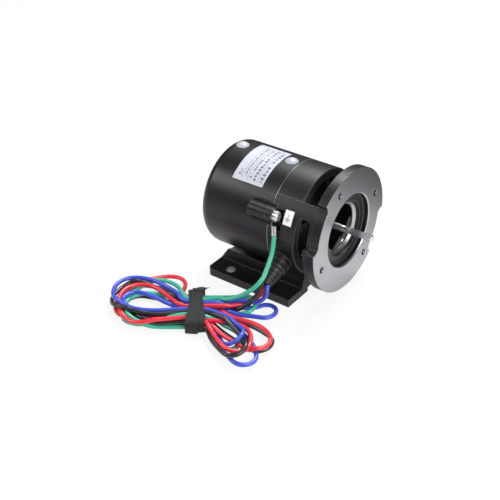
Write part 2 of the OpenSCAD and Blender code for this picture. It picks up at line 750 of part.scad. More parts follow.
module green_lead() { color("#3fb79a") lead(green_route); }
module blue_lead() { color("#4a63c8") lead(blue_route); }
module red_lead() { color("#d8344a") lead(red_route); }
module black_lead() { color("#26262a") lead(black_route); }

// The hank lies beside the foot: two fans of loops and a waist that the tie pulls in
waist = [-4.4, -90.9];
waist_r = 21;
left_fan = [-44, -102];
left_fan_r = 27;
right_fan = [28, -87];
right_fan_r = 31;
tie_turn = 38;

module hank_outline() {
    hull() {
        translate(waist) circle(r = waist_r, $fn = 24);
        translate(left_fan) circle(r = left_fan_r, $fn = 32);
    }
    hull() {
        translate(waist) circle(r = waist_r, $fn = 24);
        translate(right_fan) circle(r = right_fan_r, $fn = 32);
    }
}

module lead_hank() {
    notch_w = tie_w + 2 * seat;
    color("#3c55a8") difference() {
        linear_extrude(hank_h) hank_outline();
        translate(waist) rotate([0, 0, tie_turn]) {
            translate([-notch_w / 2, -2 * waist_r, -lap])
                cube([notch_w, 4 * waist_r, tie_t + lap + seat]);
            for (side = [-1, 1]) translate([-notch_w / 2, side * (waist_r + 12) - 12, -lap])
                cube([notch_w, 24, hank_h + 2 * lap]);
        }
    }
}

// The tie is one band around the waist
module hank_tie() {
    inner = 2 * waist_r + 2 * seat;
    color("#202022") translate(waist) rotate([0, 0, tie_turn])
        translate([-tie_w / 2, -inner / 2 - tie_t, 0]) difference() {
            cube([tie_w, inner + 2 * tie_t, hank_h + seat + tie_t]);
            translate([-lap, tie_t, tie_t]) cube([tie_w + 2 * lap, inner, hank_h + seat - tie_t]);
        }
}

front_bracket();
motor_housing();
stator_core();
stator_winding();
rotor_core();
rotor_cage();
shaft();
front_bearing_outer();
front_bearing_inner();
front_bearing_balls();
rear_bearing_outer();
rear_bearing_inner();
rear_bearing_balls();
wave_washer();
shaft_circlip();
ground_screw();
ground_washer();
ground_terminal();
case_screw();
case_washer();
hole_plugs();
rating_label();
ground_sticker();
strain_relief();
green_lead();
blue_lead();
red_lead();
black_lead();
lead_hank();
hank_tie();
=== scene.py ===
import json
import math

import bpy
import numpy as np
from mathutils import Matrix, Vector


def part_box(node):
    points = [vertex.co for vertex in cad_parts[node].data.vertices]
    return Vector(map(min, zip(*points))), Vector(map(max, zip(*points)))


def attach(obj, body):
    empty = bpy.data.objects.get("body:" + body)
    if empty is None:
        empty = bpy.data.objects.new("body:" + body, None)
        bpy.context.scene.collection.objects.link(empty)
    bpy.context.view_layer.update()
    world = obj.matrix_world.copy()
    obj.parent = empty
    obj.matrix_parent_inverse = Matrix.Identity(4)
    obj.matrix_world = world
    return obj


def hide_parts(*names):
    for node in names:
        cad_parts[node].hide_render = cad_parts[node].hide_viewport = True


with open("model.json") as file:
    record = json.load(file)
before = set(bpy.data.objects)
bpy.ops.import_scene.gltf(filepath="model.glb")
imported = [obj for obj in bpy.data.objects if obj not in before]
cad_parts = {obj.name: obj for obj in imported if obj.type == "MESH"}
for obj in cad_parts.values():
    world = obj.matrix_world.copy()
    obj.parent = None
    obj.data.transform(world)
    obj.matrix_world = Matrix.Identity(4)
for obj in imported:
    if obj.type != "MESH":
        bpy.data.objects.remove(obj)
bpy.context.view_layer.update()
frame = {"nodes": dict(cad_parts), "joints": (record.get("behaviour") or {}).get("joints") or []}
nodes = frame["nodes"]
scene = bpy.context.scene

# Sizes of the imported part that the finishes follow
SHAFT_H = frame["joints"][0]["pos_m"][2] * 1000
FACE_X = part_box("front_bracket")[1][0] * 1000
JOINT_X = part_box("motor_housing")[1][0] * 1000
BODY_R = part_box("motor_housing")[1][2] * 1000 - SHAFT_H


def metres(lengths):
    """Lengths in mm as metres."""
    return np.asarray(lengths, float) / 1000


def make_camera():
    """The photo's camera, as the fit of the motor's edges to the photo places it."""
    data = bpy.data.cameras.new("camera")
    data.sensor_fit = "HORIZONTAL"
    data.sensor_width = 36.0
    data.lens = 71.83
    data.clip_start = 0.05
    data.clip_end = 20.0
    camera = bpy.data.objects.new("camera", data)
    camera.location = (0.35926, -0.52036, 0.42450)
    camera.rotation_euler = [math.radians(turn) for turn in (56.729, 0.410, 36.101)]
    scene.collection.objects.link(camera)
    scene.camera = camera


make_camera()

# The hank's waist, where the tie holds the leads: its middle, its turn and its half sizes
LEAD_D = 3.2
WAIST = np.array((-4.4, -90.9))
WAIST_HALF = 21.0
WAIST_TOP = 10.1
TIE_TURN = math.radians(38)
ALONG = np.array((math.cos(TIE_TURN), math.sin(TIE_TURN)))
ACROSS = np.array((-math.sin(TIE_TURN), math.cos(TIE_TURN)))

# Each route starts with its free stretch. Then a pair is a pass through the tie, as
# (place across it, height), and the lists between are the loops at its two sides.
ROUTES = {
    "green": [
        [(28.6, -42.9, 55.2), (28.5, -44.8, 44), (29.6, -49.4, 39), (30.2, -54.2, 34.2),
         (30.6, -58.6, 30.2), (29.4, -62.2, 26.8), (25.7, -65.4, 21.6), (20.4, -68.6, 17),
         (15.3, -71.8, 13.8), (9, -76, 11)],
        (9.4, 8.5),
        [(-28, -79, 8), (-40, -76, 7), (-52, -77, 5), (-58, -90, 3), (-64, -100, 2),
         (-58, -112, 2), (-52, -120, 2), (-42, -125, 2), (-30, -123, 3), (-17, -113, 5)],
        (-8.6, 8.5),
        [(12, -92, 8), (19, -89, 6), (30, -91, 4), (40, -98, 3), (43, -106, 2),
         (37, -109, 1.8), (25, -105, 1.8)],
        (-19, 2.8),
        [(-22, -119, 1.8), (-35, -126, 4.8), (-48, -120, 4.8), (-55, -108, 4.8),
         (-51, -98, 4.8), (-42, -91, 4.8), (-26, -85, 4.8)],
        (15, 5.9),
        [(1, -67, 5), (12, -62, 6.5), (20, -57, 7), (28, -60, 6.5), (27, -68, 5), (15, -76, 4)],
        (2.6, 2.8),
    ],
    "blue": [
        [(31.7, -55.2, 21.9), (32.8, -58, 17), (32.6, -60.5, 12.2), (28.5, -63, 8.5),
         (18, -68, 7), (9, -75.5, 7.5)],
        (6, 8.5),
        [(-29, -84, 8), (-51, -82, 8), (-65, -87, 8), (-71, -96, 8), (-67, -109, 8),
         (-61, -116, 8), (-51, -119, 8), (-40, -119, 8), (-29, -113, 8), (-18, -104, 8)],
        (-1.2, 8.5),
        [(15, -86, 8), (28, -89, 8), (41, -98, 8), (44, -106, 7), (38, -107, 5), (24, -102, 3)],
        (-12.2, 2.8),
        [(-20, -113, 1.7), (-40, -122, 1.7), (-58, -115, 1.7), (-66, -100, 1.7),
         (-62, -87, 1.7), (-46, -80, 1.7), (-33, -77, 2)],
        (12, 2.8),
        [(22, -78, 5), (33, -72, 6), (44, -64, 6), (42, -55, 6), (32, -58, 6), (17, -70, 4)],
        (2.6, 5.9),
        [(-25, -98, 7), (-37, -97, 8), (-47, -99, 8), (-55, -105, 8), (-55, -113, 7),
         (-45, -117, 5), (-28, -114, 4.8)],
        (-8.8, 2.8),
        [(28, -111, 3), (44, -115, 3), (54, -118, 3), (60, -116, 3), (59, -108, 3),
         (52, -99, 3), (38, -90, 3), (19, -87, 3)],
        (-2, 2.8),
    ],
    "red": [
        [(28.4, -54.4, 20.2), (28.3, -57, 15.5), (27.5, -59.3, 11), (24, -62, 7.5),
         (15, -72, 6.5), (8, -80, 7.5)],
        (2.4, 8.5),
        [(-13, -97, 8), (-28, -92, 8), (-44, -88, 8), (-55, -91, 8), (-61, -100, 8),
         (-59, -111, 7), (-53, -120, 5), (-41, -126, 4), (-28, -125, 4.8)],
        (-14, 8.2),
        [(21, -106, 8), (33, -113, 8), (43, -115, 8), (50, -112, 8), (51, -104, 8),
         (47, -95, 8), (39, -88, 8), (28, -86, 7), (13, -92, 6)],
        (-11.8, 5.9),
        [(-22, -114, 3), (-41, -125, 3), (-56, -117, 4), (-62, -101, 4), (-61, -82, 3),
         (-55, -72, 3), (-46, -64, 3), (-36, -64, 3)],
        (19, 2.8),
        [(-1, -76, 3), (18, -83, 5), (37, -79, 6), (51, -82, 6), (59, -88, 6),
         (60, -98, 6), (52, -104, 5), (41, -105, 6), (22, -102, 6)],
        (-15.3, 5.9),
    ],
    "black": [
        [(28.4, -56.1, 23.6), (28, -59.4, 18.8), (26.5, -62.6, 13.8), (23, -65, 8.6),
         (13, -75, 4.5)],
        (9.6, 5.4),
        [(-21, -88, 6), (-40, -86, 5), (-54, -85, 5), (-64, -90, 5), (-67, -104, 5),
         (-63, -116, 5), (-55, -122, 6), (-43, -122, 7), (-30, -119, 8), (-17, -110, 8)],
        (-5, 8.5),
        [(11, -89, 8), (24, -90, 8), (36, -96, 8), (48, -103, 8), (53, -111, 8),
         (51, -118, 8), (42, -117, 7), (27, -112, 6)],
        (-17.6, 5.2),
        [(-26, -120, 4.8), (-48, -116, 2), (-57, -107, 2), (-52, -96, 2), (-39, -93, 4),
         (-22, -93, 4)],
        (6.2, 2.8),
        [(14, -85, 3), (29, -80, 3), (39, -79, 3), (54, -84, 4), (61, -91, 4), (56, -99, 3),
         (45, -99, 2), (26, -97, 2)],
        (-5.5, 2.8),
    ],
}

# A pass reaches this far to each side of the waist, and the nearer half of the bundle
# fans out towards the right by these shares of its place across the tie
PASS_REACH = 8
FAN_SHIFT = 0.13
FAN_SPREAD = 0.019


def route_points(route):
    """The route as points, with three points at each pass through the tie."""
    points = list(route[0])
    way = -1
    for part in route[1:]:
        if isinstance(part, list):
            points += part
            continue
        place, height = part
        near = min(place, 0)
        # The last pass ends in the middle of the tie, with the lead's bare end
        shares = (-1, -0.5, 0) if part is route[-1] else (-1, 0, 1)
        for share in shares:
            step = share * PASS_REACH
            shifted = place - FAN_SHIFT * near + FAN_SPREAD * near * way * step
            x, y = WAIST + ACROSS * shifted + ALONG * way * step
            points.append((x, y, height))
        way = -way
    return np.array(points, float)


def evenly(points, gap):
    """A smooth curve through the points, cut into even steps."""
    ends = np.vstack([2 * points[0] - points[1], points, 2 * points[-1] - points[-2]])
    t = np.linspace(0, 1, 16, endpoint=False)[:, None]
    parts = []
    for a, b, c, d in zip(ends, ends[1:], ends[2:], ends[3:]):
        square = 2 * a - 5 * b + 4 * c - d
        cube = 3 * b - a - 3 * c + d
        parts.append(0.5 * (2 * b + (c - a) * t + square * t**2 + cube * t**3))
    dense = np.vstack([*parts, points[-1:]])
    run = np.concatenate([[0], np.cumsum(np.linalg.norm(np.diff(dense, axis=0), axis=1))])
    at = np.linspace(0, run[-1], max(2, round(run[-1] / gap) + 1))
    return np.stack([np.interp(at, run, dense[:, k]) for k in range(3)], axis=1)


# The leads settle as points this far apart, and are then drawn in finer steps
STEP = 2.4
FINE_STEP = 1.3
ROUNDS = 150
# Shares of the way that one round smooths a point, draws it home and parts two leads.
# The late rounds straighten less, so that the pushes have the last word.
EARLY = (0.45, 0.02, 0.35)
LATE = (0.12, 0.004, 0.5)
LATE_FROM = 0.75
LARGEST_MOVE = 0.8
# Leads keep this far apart, except for points that are a few steps apart on one lead
ROOM = LEAD_D + 0.1
OWN_STEPS = 4
# Points a few steps apart keep at least the chord of the tightest bend
TIGHTEST = 8.2
CHORDS = [(n, 2 * TIGHTEST * math.sin(n * STEP / 2 / TIGHTEST)) for n in (3, 5, 7, 9)]
CHORD_SHARE = 0.3
# From this height up a lead hangs from the motor, and it is quite free this much lower
HANG_H = 14
HANG_FADE = 3
# The room inside the tie: how far it holds the leads along and across it, its margins at
# the sides and the floor, and where its edges start to round, with their slopes
TIE_HALF = 7
TIE_REACH = 6
TIE_SIDE = 1.7
TIE_FLOOR = 2.9
TIE_ROUND = 15.5
TIE_RISE = 0.25
TIE_FALL = 0.55
# The highest that a lead's middle lies outside the tie, and its gap from the floor
HIGHEST = 10.5
FLOOR_GAP = 0.05


def push(move, points, i, j, wanted, share):
    """Adds a push that parts points i and j where they are nearer than the wanted distance."""
    gap = points[i] - points[j]
    size = np.maximum(np.linalg.norm(gap, axis=1), 0.05)[:, None]
    step = gap / size * np.maximum(wanted - size, 0) * share
    np.add.at(move, i, step)
    np.add.at(move, j, -step)


def keep_in_place(points, free):
    """Holds the leads inside the tie, over the floor, and low where they lie loose."""
    local_x = (points[:, :2] - WAIST) @ ALONG
    local_y = (points[:, :2] - WAIST) @ ACROSS
    inside = (np.abs(local_x) < TIE_HALF) & (np.abs(local_y) < WAIST_HALF + TIE_REACH)
    inside &= free > 0
    side = np.clip(local_y, TIE_SIDE - WAIST_HALF, WAIST_HALF - TIE_SIDE) - local_y
    points[inside, :2] += side[inside, None] * ACROSS
    lean = np.maximum(np.abs(local_y + side)[inside] - TIE_ROUND, 0)
    low = TIE_FLOOR + TIE_RISE * lean
    high = WAIST_TOP - TIE_SIDE - TIE_FALL * lean
    points[inside, 2] = np.clip(points[inside, 2], low, high)
    points[:, 2] = np.maximum(points[:, 2], LEAD_D / 2 + FLOOR_GAP)
    loose = (free >= 1) & ~inside
    points[loose, 2] = np.minimum(points[loose, 2], HIGHEST)


def settle(paths, rounds):
    """Pushes leads that touch apart, and keeps them smooth, over the floor and in the tie."""
    counts = [len(path) for path in paths]
    starts = np.concatenate([[0], np.cumsum(counts)])
    points = np.vstack(paths)
    home = points.copy()
    lead = np.repeat(np.arange(len(paths)), counts)
    order = np.concatenate([np.arange(count) for count in counts])
    apart = np.abs(order[:, None] - order[None]) > OWN_STEPS
    apart |= lead[:, None] != lead[None]
    free = np.clip((HANG_H - home[:, 2]) / HANG_FADE, 0, 1)
    free[starts[:-1]] = 0
    for turn in range(rounds):
        smoothing, homing, parting = LATE if turn > LATE_FROM * rounds else EARLY
        smooth = points.copy()
        for a, b in zip(starts, starts[1:]):
            smooth[a + 1 : b - 1] = (points[a : b - 2] + points[a + 2 : b]) / 2
        points += free[:, None] * (smoothing * (smooth - points) + homing * (home - points))
        move = np.zeros_like(points)
        squares = np.sum((points[:, None] - points[None]) ** 2, axis=2)
        i, j = np.nonzero(np.triu((squares < ROOM**2) & apart))
        push(move, points, i, j, ROOM, parting)
        for steps, chord in CHORDS:
            i = np.nonzero(order[steps:] == order[:-steps] + steps)[0]
            push(move, points, i + steps, i, chord, CHORD_SHARE)
        size = np.maximum(np.linalg.norm(move, axis=1, keepdims=True), 1e-6)
        points += free[:, None] * move / size * np.minimum(size, LARGEST_MOVE)
        keep_in_place(points, free)
    return [points[a:b] for a, b in zip(starts, starts[1:])]


def make_lead(name, path):
    """One open curve with a round section, from where the lead leaves the object."""
    curve = bpy.data.curves.new(name, "CURVE")
    curve.dimensions = "3D"
    curve.bevel_depth = metres(LEAD_D / 2)
    curve.bevel_resolution = 4
    curve.use_fill_caps = True
    spline = curve.splines.new("POLY")
    spline.points.add(len(path) - 1)
    for point, place in zip(spline.points, metres(path)):
        point.co = (*place, 1)
    spline.use_smooth = True
    piece = bpy.data.objects.new(name, curve)
    scene.collection.objects.link(piece)
    return piece


# A lead's bare end: its length and radius, and the rounding of its tip
END_LEN = 6.5
END_R = 1.0
END_ROUND = 0.4


def make_lead_end(name, first, way):
    """A stripped and tinned end: a round bar from first along way, with a rounded tip."""
    bpy.ops.object.select_all(action="DESELECT")
    bpy.ops.mesh.primitive_cylinder_add(
        vertices=16, radius=metres(END_R), depth=metres(END_LEN),
        location=metres(first + way * END_LEN / 2),
        rotation=Vector(way).to_track_quat("Z", "Y").to_euler())
    piece = bpy.context.object
    piece.name = piece.data.name = name
    bpy.ops.object.transform_apply(location=True, rotation=True, scale=True)
    bpy.ops.object.mode_set(mode="EDIT")
    bpy.ops.mesh.select_mode(type="EDGE")
    bpy.ops.mesh.select_all(action="DESELECT")
    bpy.ops.object.mode_set(mode="OBJECT")
    tip = metres(first + way * END_LEN)
    for edge in piece.data.edges:
        corners = [np.array(piece.data.vertices[k].co) for k in edge.vertices]
        edge.select = all((tip - corner) @ way < metres(0.1) for corner in corners)
    bpy.ops.object.mode_set(mode="EDIT")
    bpy.ops.mesh.bevel(offset=metres(END_ROUND), segments=3, affect="EDGES")
    bpy.ops.object.mode_set(mode="OBJECT")
    bpy.ops.object.shade_smooth_by_angle(angle=math.radians(35))
    return piece


def make_leads():
    """The four leads, settled together, and their bare ends inside the tie."""
    paths = [evenly(route_points(route), STEP) for route in ROUTES.values()]
    settled = settle(paths, ROUNDS)
    leads, ends = {}, {}
    for (colour, route), path in zip(ROUTES.items(), settled):
        path = evenly(path, FINE_STEP)
        path[0] = route[0][0]
        way = (path[-1] - path[-4]) / np.linalg.norm(path[-1] - path[-4])
        leads[colour] = make_lead(colour + "_lead_run", path)
        ends[colour] = make_lead_end(colour + "_lead_end", path[-1] - 0.5 * way, way)
    return leads, ends


def make_strap(name, inner, outer, closed):
    """A strap from rows of points across its two faces. A closed one joins its ends."""
    steps, rows = inner.shape[:2]
    other = steps * rows
    faces = []
    for i in range(steps if closed else steps - 1):
        a, b = i * rows, (i + 1) % steps * rows
        for k in range(rows - 1):
            faces.append((a + k, a + k + 1, b + k + 1, b + k))
            faces.append((other + a + k, other + b + k, other + b + k + 1, other + a + k + 1))
        faces.append((a, b, other + b, other + a))
        a, b = a + rows - 1, b + rows - 1
        faces.append((a, other + a, other + b, b))
    if not closed:
        for k in range(rows - 1):
            last = other - rows + k
            faces.append((k, other + k, other + k + 1, k + 1))
            faces.append((last, last + 1, other + last + 1, other + last))
    data = bpy.data.meshes.new(name)
    points = np.concatenate([inner.reshape(-1, 3), outer.reshape(-1, 3)])
    data.from_pydata([tuple(point) for point in metres(points)], [], faces)
    data.polygons.foreach_set("use_smooth", [True] * len(faces))
    piece = bpy.data.objects.new(name, data)
    scene.collection.objects.link(piece)
    return piece


# A turn of the strap: the radius of its corners, the points across it and round a corner,
# and the length of its straight steps. Its edges roll in by a share of its thickness, and
# its creases change this much from point to point along it, across it and slowly along it.
STRAP_CORNER = 3.6
STRAP_ROWS = 9
STRAP_STEP = 2
STRAP_ROLL = 0.25
CREASE_ALONG = 0.9
CREASE_ACROSS = 2.1
CREASE_SLOW = 0.37


def waist_outline(half, low, high):
    """A strap's path round the waist: places (across, up) and the ways out from them."""
    outline = []
    for side, top, first in ((1, 1, 0), (-1, 1, 90), (-1, 0, 180), (1, 0, 270)):
        middle = (side * (half - STRAP_CORNER), high - STRAP_CORNER if top else low + STRAP_CORNER)
        for turn in np.radians(np.linspace(first, first + 90, STRAP_ROWS)):
            out = np.array((math.cos(turn), math.sin(turn)))
            outline.append((middle + STRAP_CORNER * out, out))
    path = []
    for (place, out), (following, _) in zip(outline, outline[1:] + outline[:1]):
        pieces = max(1, int(np.linalg.norm(following - place) / STRAP_STEP))
        path += [(place + (following - place) * k / pieces, out) for k in range(pieces)]
    return path


def make_wrap(name, half, low, high, width, thick, turn, shift, wrinkle):
    """One turn of the strap round the waist, with rolled edges and small wrinkles on top."""
    along = np.array((math.cos(TIE_TURN + turn), math.sin(TIE_TURN + turn)))
    across = np.array((-along[1], along[0]))
    path = waist_outline(half, low, high)
    faces = np.zeros((2, len(path), STRAP_ROWS, 3))
    for i, ((y, z), out) in enumerate(path):
        for k in range(STRAP_ROWS):
            u = (k / (STRAP_ROWS - 1) - 0.5) * width + shift
            crease = math.sin(CREASE_ALONG * i + CREASE_ACROSS * k) * math.sin(CREASE_SLOW * i)
            # The stretch that lies under the leads stays flat
            ripple = wrinkle * crease if z > low + 1 else 0
            roll = -STRAP_ROLL * thick if k in (0, STRAP_ROWS - 1) else 0
            for face, lift in ((0, 0), (1, thick + ripple + roll)):
                faces[face, i, k, :2] = WAIST + along * u + across * (y + out[0] * lift)
                faces[face, i, k, 2] = z + out[1] * lift
    return make_strap(name, faces[0], faces[1], True)


# The strap's free end: where it leaves the top, inside the far edge and over the leads,
# how far it drifts, rises, droops and curls on its way, and the share that it tapers by
LOOSE_INSET = 5.5
LOOSE_OVER = 1.05
LOOSE_DRIFT = 2.6
LOOSE_RISE = 0.3
LOOSE_DROOP = 2.4
LOOSE_CURL = 0.25
LOOSE_TAPER = 0.15


def make_loose_end(name, turn, width, length, thick):
    """The strap's free end: it leaves the top at the far edge, tapers and hangs a little."""
    along = np.array((math.cos(TIE_TURN + turn), math.sin(TIE_TURN + turn)))
    across = np.array((-along[1], along[0]))
    steps = 7
    rows = 5
    faces = np.zeros((2, steps, rows, 3))
    for i in range(steps):
        t = i / (steps - 1)
        for k in range(rows):
            u = (k / (rows - 1) - 0.5) * width * (1 - LOOSE_TAPER * t) + LOOSE_DRIFT * t * t
            reach = WAIST_HALF - LOOSE_INSET + length * t
            curl = LOOSE_CURL * math.sin(1.7 * k) * t
            z = WAIST_TOP + LOOSE_OVER + LOOSE_RISE * t - LOOSE_DROOP * t * t + curl
            faces[:, i, k, :2] = WAIST + along * u + across * reach
            faces[:, i, k, 2] = (z + thick, z)
    return make_strap(name, faces[0], faces[1], False)


def make_tie():
    """A strap wound twice round the waist, each turn at its own slant, with its free end."""
    return [
        make_wrap("tie_inner_wrap", half=WAIST_HALF + 0.05, low=1.25, high=WAIST_TOP + 0.05,
                  width=9.5, thick=0.55, turn=math.radians(5), shift=0.8, wrinkle=0.1),
        make_wrap("tie_outer_wrap", half=WAIST_HALF + 0.65, low=0.65, high=WAIST_TOP + 0.65,
                  width=8.5, thick=0.5, turn=math.radians(-7), shift=-0.6, wrinkle=0.08),
        make_loose_end("tie_loose_end", turn=math.radians(-9), width=7.8, length=7.8, thick=0.5),
    ]


leads, ends = make_leads()
tie = make_tie()
for colour, lead in leads.items():
    held = tie if colour == "green" else []
    if not held:
        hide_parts(colour + "_lead")
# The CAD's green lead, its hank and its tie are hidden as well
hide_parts("green_lead", "lead_hank")
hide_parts("hank_tie")


# The finishes: what every material is made with
def srgb(code):
    """A linear colour from its sRGB hex code."""
    parts = [int(code[i : i + 2], 16) / 255 for i in (1, 3, 5)]
    return (*[c / 12.92 if c <= 0.04045 else ((c + 0.055) / 1.055) ** 2.4 for c in parts], 1.0)


def darker(code, share):
    """That share of a hex colour's light."""
    return (*[share * part for part in srgb(code)[:3]], 1.0)


def feed(tree, node, inputs):
    """Links the inputs that are sockets and sets the others."""
    for key, value in inputs.items():
        if isinstance(value, bpy.types.NodeSocket):
            tree.links.new(value, node.inputs[key])
        else:
            node.inputs[key].default_value = value


# A colour Mix has its colours at inputs 6 and 7 and its result at output 2, and a float
# Mix has its values at inputs 2 and 3
def add(tree, kind, inputs, output=0, **settings):
    """Adds one shader node with its settings and inputs, and gives one of its outputs."""
    node = tree.nodes.new("ShaderNode" + kind)
    for key, value in settings.items():
        setattr(node, key, value)
    feed(tree, node, inputs)
    return node.outputs[output]


def start(name):
    """A new material: itself, its node tree, its shader and the place on the object in mm."""
    material = bpy.data.materials.new(name)
    material.use_nodes = True
    tree = material.node_tree
    place = add(tree, "TexCoord", {}, "Object")
    mm = add(tree, "VectorMath", {0: place, 3: 1000.0}, operation="SCALE")
    return material, tree, tree.nodes["Principled BSDF"], mm


def mottle(tree, mm, size, dark, light):
    """A colour that drifts between two in patches of this size, and the patches, 0 to 1."""
    patches = add(tree, "TexNoise", {"Vector": mm, "Scale": 1 / size})
    colour = add(tree, "Mix", {0: patches, 6: dark, 7: light}, 2, data_type="RGBA")
    return colour, patches


def between(tree, value, low, high):
    """1 where value lies between low and high, and 0 elsewhere."""
    over = add(tree, "Math", {0: value, 1: low}, operation="GREATER_THAN")
    under = add(tree, "Math", {0: value, 1: high}, operation="LESS_THAN")
    return add(tree, "Math", {0: over, 1: under}, operation="MULTIPLY")


def relief(tree, height, strength, depth, edge=0.0):
    """A bumpy surface. With edge, sharp edges also catch light as if rounded by that much."""
    inputs = {"Height": height, "Strength": strength, "Distance": metres(depth)}
    if edge:
        inputs["Normal"] = add(tree, "Bevel", {"Radius": metres(edge)}, samples=6)
    return add(tree, "Bump", inputs)


def painted_edge_highlight_mask(tree, reach):
    """1 on sharp edges and 0 away from them, where a painted highlight lightens the paint."""
    rounded = add(tree, "Bevel", {"Radius": metres(reach)}, samples=6)
    flat = add(tree, "NewGeometry", {}, "True Normal")
    same = add(tree, "VectorMath", {0: rounded, 1: flat}, "Value", operation="DOT_PRODUCT")
    return add(tree, "MapRange", {"Value": same, "From Min": 0.985, "From Max": 0.8})


def round_the_shaft(tree, mm):
    """Place along the shaft, distance from its axis, and degrees from upright towards +Y."""
    x, y, z = add(tree, "SeparateXYZ", {0: mm}).node.outputs
    up = add(tree, "Math", {0: z, 1: SHAFT_H}, operation="SUBTRACT")
    spoke = add(tree, "CombineXYZ", {1: y, 2: up})
    radius = add(tree, "VectorMath", {0: spoke}, "Value", operation="LENGTH")
    turn = add(tree, "Math", {0: y, 1: up}, operation="ARCTAN2")
    return x, radius, add(tree, "Math", {0: turn}, operation="DEGREES")


def black_paint(tree, mm, size, edge, highlight_share):
    """Satin black that drifts in patches, with a painted highlight that lightens it on its edges.
    """
    paint, patches = mottle(tree, mm, size, srgb("#100f10"), srgb("#181718"))
    edge_highlight = add(tree, "Math", {0: painted_edge_highlight_mask(tree, edge), 1: highlight_share}, operation="MULTIPLY")
    # Sharp edges are mixed towards light grey: a painted highlight
    colours = {0: edge_highlight, 6: paint, 7: srgb("#5a595c")}
    return add(tree, "Mix", colours, 2, data_type="RGBA"), patches


# The front bracket: the flange and its bores, the circle and turns of the flange's holes,
# and the foot and its holes. A hole's metal reaches a little past its edge.
FLANGE_T = 7
REGISTER_R = 27.3
WEB_X = FACE_X - 6.2
WEB_HOLE_R = 17.5
BOLT_CIRCLE_R = 37.7
BOLT_TURNS = (67.5, -22.5, -112.5, 143)
BOLT_METAL_R = 2.2
FOOT_T = 6
FOOT_HOLES = [(x, y) for x in (-15, 15) for y in (-36.5, 36.5)]
FOOT_METAL_R = 3.68
# What is turned bare on it, and two strips along the seam that are a painted highlight drawn as
# bare metal, as limits along the shaft and limits from the shaft's axis
TURNED_AND_SEAM_HIGHLIGHT = {
    "flange face": (FACE_X - 0.07, FACE_X + 1, 0, 60),
    "register chamfer": (FACE_X - 0.9, FACE_X + 0.1, 0, REGISTER_R + 1.1),
    "web hole chamfer": (WEB_X - 1.9, WEB_X - 0.05, WEB_HOLE_R - 0.1, WEB_HOLE_R + 1.8),
    # The two strips along the seam are a painted highlight, drawn as bare metal
    "painted highlight at the seam": (JOINT_X - 0.1, JOINT_X + 0.5, BODY_R - 0.6, BODY_R + 0.2),
    "painted highlight on the seam's rim": (JOINT_X + 0.2, JOINT_X + 0.6, BODY_R + 0.3, BODY_R + 0.8),
}


def spots(tree, mm, plane, centres, size):
    """1 in rods of this radius that stand on the centres and across the plane."""
    flat = add(tree, "VectorMath", {0: mm, 1: plane}, operation="MULTIPLY")
    mask = 0.0
    for centre in centres:
        away = add(tree, "VectorMath", {0: flat, 1: centre}, "Value", operation="DISTANCE")
        near = add(tree, "Math", {0: away, 1: size}, operation="LESS_THAN")
        mask = add(tree, "Math", {0: mask, 1: near}, operation="MAXIMUM")
    return mask


def bare_metal_and_seam_highlight(tree, mm, x, radius):
    """1 where the casting is turned or drilled bare, and on the painted highlight along the seam.
    """
    bolts = [(0, BOLT_CIRCLE_R * math.sin(turn), SHAFT_H + BOLT_CIRCLE_R * math.cos(turn))
             for turn in map(math.radians, BOLT_TURNS)]
    drilled = spots(tree, mm, (0, 1, 1), bolts, BOLT_METAL_R)
    in_flange = between(tree, x, FACE_X - FLANGE_T + 0.1, FACE_X + 0.1)
    bare = add(tree, "Math", {0: drilled, 1: in_flange}, operation="MULTIPLY")
    holes = [(*hole, 0) for hole in FOOT_HOLES]
    drilled = spots(tree, mm, (1, 1, 0), holes, FOOT_METAL_R)
    height = add(tree, "SeparateXYZ", {0: mm}, 2)
    regions = [(drilled, between(tree, height, -1, FOOT_T + 0.1))]
    for x_low, x_high, r_low, r_high in TURNED_AND_SEAM_HIGHLIGHT.values():
        regions.append((between(tree, x, x_low, x_high), between(tree, radius, r_low, r_high)))
    for one, other in regions:
        region = add(tree, "Math", {0: one, 1: other}, operation="MULTIPLY")
        bare = add(tree, "Math", {0: bare, 1: region}, operation="MAXIMUM")
    return bare


# Sizes of fine patterns: the casting's grain, and the steps of the tool that turned it,
# of the sheets in the stacks, of the winding's wires, and of the tape's threads and ribs.
# The tool's marks and the threads are drawn coarser than they are, so that they show.
SKIN_GRAIN = 0.55
TOOL_MARKS = 0.57
SHEET_T = 0.5
WIRE_D = 0.8
THREAD = 0.7
RIB = 3.0


def wave(tree, place, length):
    """Smooth waves of this length, from -1 to 1."""
    phase = add(tree, "Math", {0: place, 1: 2 * math.pi / length}, operation="MULTIPLY")
    return add(tree, "Math", {0: phase}, operation="SINE")


def cast_paint():
    """Painted die-cast aluminium: satin black over a fine skin, with what is turned left bare, a
    painted highlight of bare metal along the seam and one of light grey on its edges.
    """
    material, tree, shader, mm = start("satin_black_cast_paint")
    x, radius, _ = round_the_shaft(tree, mm)
    bare = bare_metal_and_seam_highlight(tree, mm, x, radius)
    paint, patches = black_paint(tree, mm, size=14.0, edge=1.0, highlight_share=0.8)
    # Turned metal, which also colours the painted highlight along the seam
    turned, _ = mottle(tree, mm, 5.0, srgb("#9fa1a4"), srgb("#b0b2b4"))
    colour = add(tree, "Mix", {0: bare, 6: paint, 7: turned}, 2, data_type="RGBA")
    paint_rough = add(tree, "MapRange", {"Value": patches, "To Min": 0.36, "To Max": 0.46})
    rough = add(tree, "Mix", {0: bare, 2: paint_rough, 3: 0.34}, data_type="FLOAT")
    skin = {"Vector": mm, "Scale": 1 / SKIN_GRAIN, "Detail": 3.0, "Roughness": 0.6}
    grain = add(tree, "TexNoise", skin)
    rings = add(tree, "Math", {0: wave(tree, radius, TOOL_MARKS), 1: 0.12}, operation="MULTIPLY")
    height = add(tree, "Mix", {0: bare, 2: grain, 3: rings}, data_type="FLOAT")
    feed(tree, shader, {"Base Color": colour, "Metallic": bare, "Roughness": rough,
                        "Specular IOR Level": 0.4,
                        "Normal": relief(tree, height, strength=0.5, depth=0.05, edge=0.7)})
    return material


